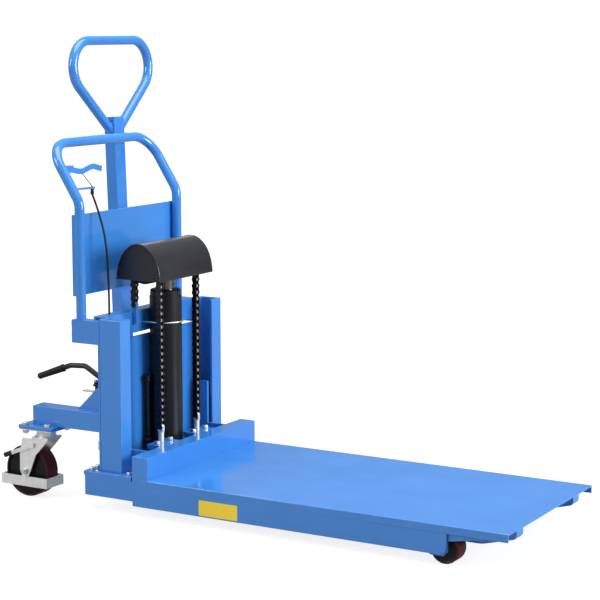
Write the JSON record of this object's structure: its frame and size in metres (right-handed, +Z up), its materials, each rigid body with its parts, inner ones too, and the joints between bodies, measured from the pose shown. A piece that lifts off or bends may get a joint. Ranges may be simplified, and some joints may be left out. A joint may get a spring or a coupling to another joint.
{
  "type": "hydraulic platform lift truck",
  "caption": "Low platform truck whose deck is raised along a short mast by a foot-pumped cylinder and roller chains, with push bar, tow handle and swivel casters.",
  "frame": {"origin": "on the floor under the middle of the machine's bounding box, deck down, casters trailing to the rear", "axes": "+X forwards along the deck, +Y to the tow handle's side, +Z up"},
  "size_m": [1.5918, 0.6294, 1.3083],
  "materials": {
    "blue_paint": "gloss blue powder coat",
    "black_paint": "satin black paint",
    "zinc": "bright zinc plate",
    "turned_steel": "turned and oiled steel",
    "hard_chrome": "ground hard chrome",
    "oiled_chain": "black oxide steel with oil",
    "polyurethane": "dark maroon polyurethane on a black core",
    "rubber_grip": "moulded black rubber",
    "cable_sheath": "black cable sheath"
  },
  "bodies": {
    "frame": {"base_leg_near": "blue_paint", "base_leg_far": "blue_paint", "load_axles": "zinc", "base_cross_member": "blue_paint", "base_plates": "blue_paint", "mast_upright_near": "blue_paint", "mast_upright_far": "blue_paint", "mast_back_plate": "blue_paint", "mast_top_beam": "blue_paint", "handle_brackets": "blue_paint", "push_bar": "blue_paint", "guard_panel": "blue_paint", "pump_block": "black_paint", "cylinder_tube": "black_paint", "cylinder_gland": "black_paint", "oil_tube": "black_paint", "pump_body": "blue_paint", "cylinder_clamp": "zinc", "chain_anchors": "blue_paint", "chain_rear": "oiled_chain", "caster_arm_near": "blue_paint", "caster_arm_far": "blue_paint", "caster_pads": "blue_paint", "caster_plates": "zinc", "lever_mounts": "blue_paint", "release_cable": "cable_sheath", "tow_pin": "zinc", "frame_bolts": "zinc"},
    "platform": {"deck_plate": "blue_paint", "deck_skirts": "blue_paint", "deck_forks": "blue_paint", "carriage_beam": "blue_paint", "carriage_plates": "blue_paint", "chain_lugs": "blue_paint", "chain_studs": "zinc", "lug_bolts": "zinc", "chain_front": "oiled_chain"},
    "crosshead_unit": {"piston_rod": "hard_chrome", "crosshead": "black_paint", "sheave_axle": "zinc", "chain_cover": "black_paint", "chain_wrap": "oiled_chain"},
    "sheave_near": {"chain_sheave_near": "turned_steel"},
    "sheave_far": {"chain_sheave_far": "turned_steel"},
    "load_wheel_near": {"load_roller_near": "polyurethane"},
    "load_wheel_far": {"load_roller_far": "polyurethane"},
    "pedal": {"foot_pedal": "black_paint", "pedal_grip": "rubber_grip"},
    "handle": {"tow_handle": "blue_paint"},
    "release": {"release_lever": "blue_paint"},
    "guide_near_low": {"guide_roller_near_low": "turned_steel"},
    "guide_near_high": {"guide_roller_near_high": "turned_steel"},
    "caster_near": {"caster_fork_near": "zinc"},
    "wheel_near": {"caster_wheel_near": "polyurethane"},
    "brake_near": {"brake_lever_near": "zinc"},
    "guide_far_low": {"guide_roller_far_low": "turned_steel"},
    "guide_far_high": {"guide_roller_far_high": "turned_steel"},
    "caster_far": {"caster_fork_far": "zinc"},
    "wheel_far": {"caster_wheel_far": "polyurethane"},
    "brake_far": {"brake_lever_far": "zinc"}
  },
  "joints": [
    {"name": "platform_lift", "type": "slide", "parent": "frame", "child": "platform", "axis": [0, 0, 1], "range_m": [0, 0.2286], "deforming": ["chain_front", "chain_rear"]},
    {"name": "crosshead_rise", "type": "slide", "parent": "frame", "child": "crosshead_unit", "axis": [0, 0, 1], "range_m": [0, 0.1143]},
    {"name": "sheave_turn_near", "type": "hinge", "parent": "crosshead_unit", "child": "sheave_near", "pos_m": [-0.399, -0.11775, 0.668], "axis": [0, -1, 0], "range_deg": [0, 154]},
    {"name": "guide_roll_near_low", "type": "hinge", "parent": "platform", "child": "guide_near_low", "pos_m": [-0.411, -0.25675, 0.145], "axis": [0, -1, 0], "range_deg": [0, 501.9]},
    {"name": "guide_roll_near_high", "type": "hinge", "parent": "platform", "child": "guide_near_high", "pos_m": [-0.411, -0.25675, 0.255], "axis": [0, 1, 0], "range_deg": [0, 501.9]},
    {"name": "load_roll_near", "type": "hinge", "parent": "frame", "child": "load_wheel_near", "pos_m": [0.618, -0.27075, 0.04], "axis": [0, 1, 0], "continuous": true},
    {"name": "caster_swivel_near", "type": "hinge", "parent": "frame", "child": "caster_near", "pos_m": [-0.655, -0.25875, 0.205], "axis": [0, 0, 1], "continuous": true},
    {"name": "caster_roll_near", "type": "hinge", "parent": "caster_near", "child": "wheel_near", "pos_m": [-0.709, -0.25875, 0.075], "axis": [0, 1, 0], "continuous": true},
    {"name": "brake_press_near", "type": "hinge", "parent": "caster_near", "child": "brake_near", "pos_m": [-0.68, -0.29625, 0.1544], "axis": [0, -1, 0], "range_deg": [0, 14]},
    {"name": "sheave_turn_far", "type": "hinge", "parent": "crosshead_unit", "child": "sheave_far", "pos_m": [-0.399, 0.06625, 0.668], "axis": [0, -1, 0], "range_deg": [0, 154]},
    {"name": "guide_roll_far_low", "type": "hinge", "parent": "platform", "child": "guide_far_low", "pos_m": [-0.411, 0.20525, 0.145], "axis": [0, -1, 0], "range_deg": [0, 501.9]},
    {"name": "guide_roll_far_high", "type": "hinge", "parent": "platform", "child": "guide_far_high", "pos_m": [-0.411, 0.20525, 0.255], "axis": [0, 1, 0], "range_deg": [0, 501.9]},
    {"name": "load_roll_far", "type": "hinge", "parent": "frame", "child": "load_wheel_far", "pos_m": [0.618, 0.21925, 0.04], "axis": [0, 1, 0], "continuous": true},
    {"name": "caster_swivel_far", "type": "hinge", "parent": "frame", "child": "caster_far", "pos_m": [-0.655, 0.20725, 0.205], "axis": [0, 0, 1], "continuous": true},
    {"name": "caster_roll_far", "type": "hinge", "parent": "caster_far", "child": "wheel_far", "pos_m": [-0.709, 0.20725, 0.075], "axis": [0, 1, 0], "continuous": true},
    {"name": "brake_press_far", "type": "hinge", "parent": "caster_far", "child": "brake_far", "pos_m": [-0.68, 0.16975, 0.1544], "axis": [0, -1, 0], "range_deg": [0, 14]},
    {"name": "release_pull", "type": "hinge", "parent": "frame", "child": "release", "pos_m": [-0.57409, -0.23575, 0.941], "axis": [1, 0, 0], "range_deg": [0, 15], "stiffness_Nm_per_rad": 1.5, "springref_deg": -8.59},
    {"name": "pedal_pump", "type": "hinge", "parent": "frame", "child": "pedal", "pos_m": [-0.505, -0.11575, 0.318], "axis": [0, -1, 0], "range_deg": [0, 25], "stiffness_Nm_per_rad": 4, "springref_deg": -22.92},
    {"name": "handle_tilt", "type": "hinge", "parent": "frame", "child": "handle", "pos_m": [-0.64215, 0.11325, 0.242], "axis": [0, -1, 0], "range_deg": [0, 60], "stiffness_Nm_per_rad": 90, "springref_deg": -6.88}
  ],
  "couplings": [
    {"joint": "crosshead_rise", "follows": "platform_lift", "ratio": 0.5},
    {"joint": "sheave_turn_near", "follows": "platform_lift", "rad_per_m": 11.681},
    {"joint": "guide_roll_near_low", "follows": "platform_lift", "rad_per_m": 38.168},
    {"joint": "guide_roll_near_high", "follows": "platform_lift", "rad_per_m": 38.168},
    {"joint": "sheave_turn_far", "follows": "platform_lift", "rad_per_m": 11.681},
    {"joint": "guide_roll_far_low", "follows": "platform_lift", "rad_per_m": 38.168},
    {"joint": "guide_roll_far_high", "follows": "platform_lift", "rad_per_m": 38.168}
  ]
}
